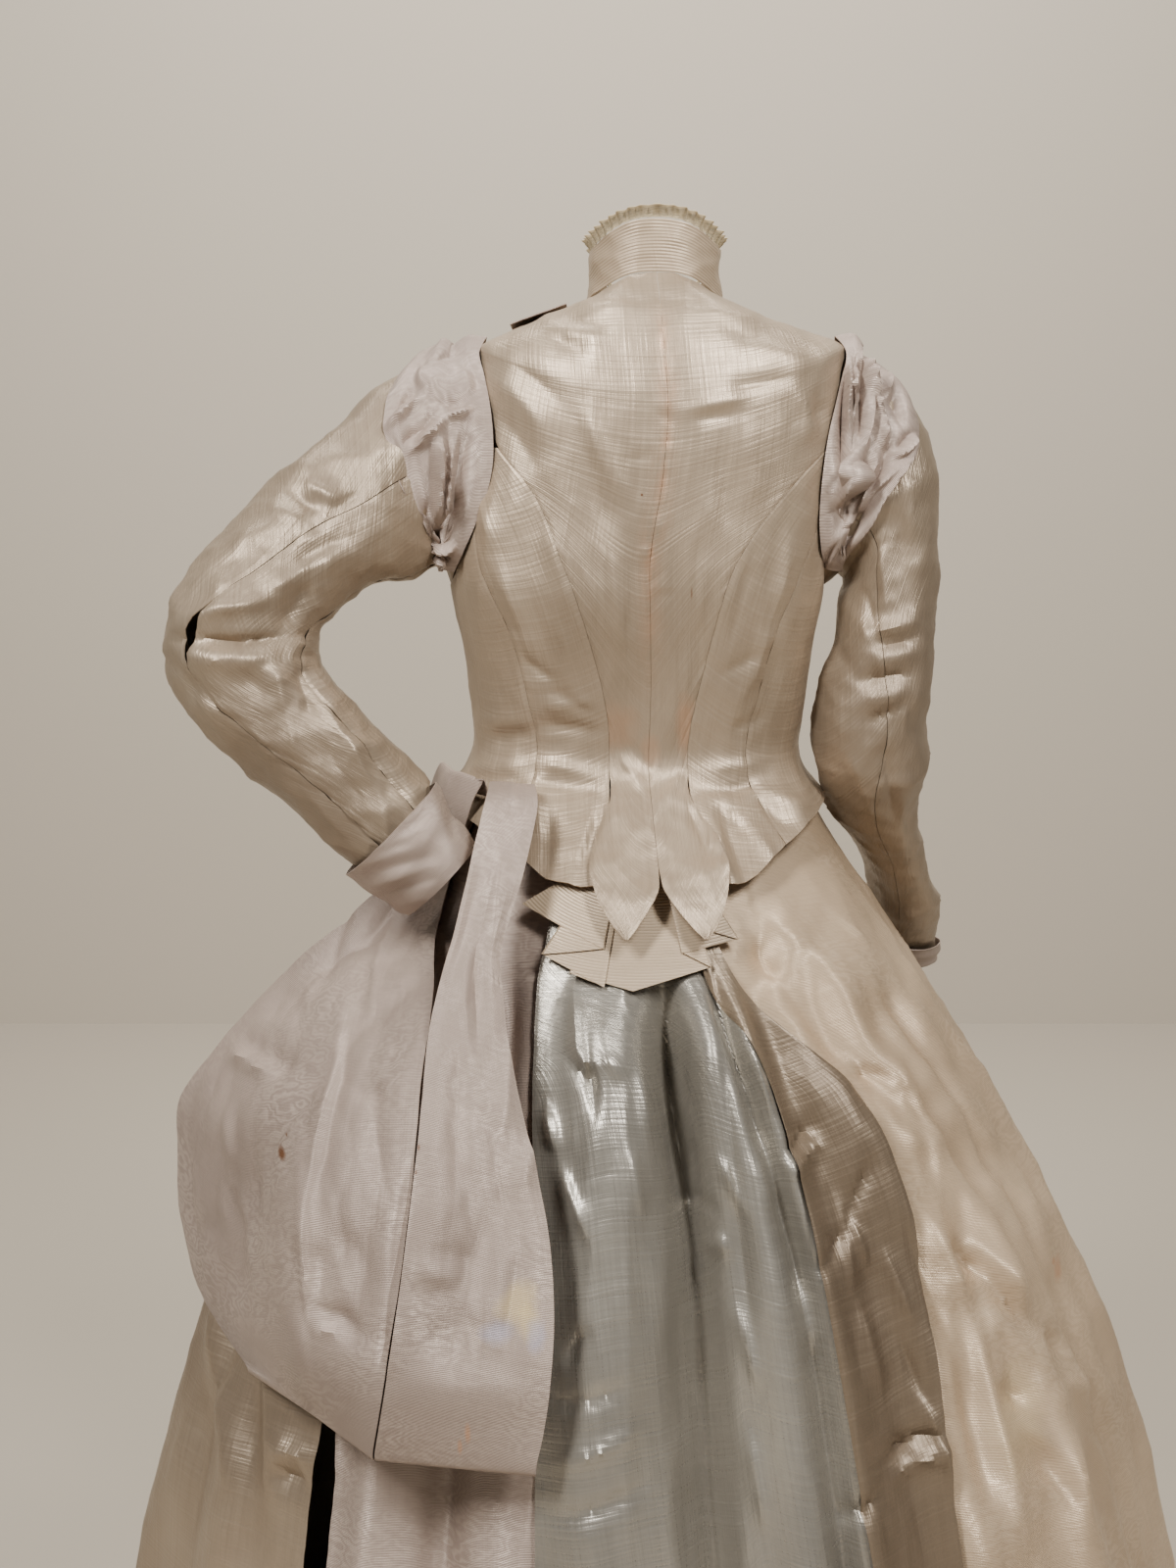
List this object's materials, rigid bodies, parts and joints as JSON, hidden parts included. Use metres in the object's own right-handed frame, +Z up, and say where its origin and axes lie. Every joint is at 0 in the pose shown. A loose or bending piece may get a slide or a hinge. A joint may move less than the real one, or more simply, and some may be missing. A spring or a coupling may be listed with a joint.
{
  "type": "bustle dress",
  "caption": "Bustle dress as worn: fitted bodice with a petal basque and faille armhole drapes, pleated fan, and a gathered trained skirt with a looped side drape.",
  "frame": {"origin": "centre of the wearer's waist, where the skirt's band sits", "axes": "+Z up, the wearer faces -Y, +X is the wearer's left"},
  "size_m": [1.0501, 0.747, 1.4797],
  "materials": {
    "taffeta_taupe": "crisp silk taffeta with a champagne sheen",
    "taffeta_silver": "silver-grey silk taffeta with a strong sheen",
    "faille_lavender": "soft ribbed silk with a dull mauve sheen",
    "faille_cream": "cream ribbed silk with a soft sheen",
    "faille_beige": "fine ribbed silk, dull",
    "lace_cream": "cotton lace, matt"
  },
  "bodies": {
    "root": {"back_left": "taffeta_taupe", "back_right": "taffeta_taupe", "side_back_left": "taffeta_taupe", "side_back_right": "taffeta_taupe", "underarm_left": "taffeta_taupe", "underarm_right": "taffeta_taupe", "front_left": "taffeta_taupe", "front_right": "taffeta_taupe", "sleeve_top_left": "taffeta_taupe", "sleeve_under_left": "taffeta_taupe", "sleeve_top_right": "taffeta_taupe", "sleeve_under_right": "taffeta_taupe", "waistband": "taffeta_taupe", "skirt_front": "taffeta_taupe", "skirt_side_left": "taffeta_taupe", "skirt_back_right": "taffeta_taupe", "skirt_back_centre": "taffeta_silver", "cuff_left": "faille_lavender", "cuff_right": "faille_lavender", "shoulder_drape_left": "faille_lavender", "shoulder_drape_right": "faille_lavender", "shoulder_fold": "faille_lavender", "skirt_panel_left": "faille_lavender", "loop_right_breadth": "faille_lavender", "loop_left_breadth": "faille_lavender", "skirt_side_right": "faille_cream", "collar": "faille_beige", "fan": "faille_beige", "collar_lace": "lace_cream"}
  },
  "joints": []
}
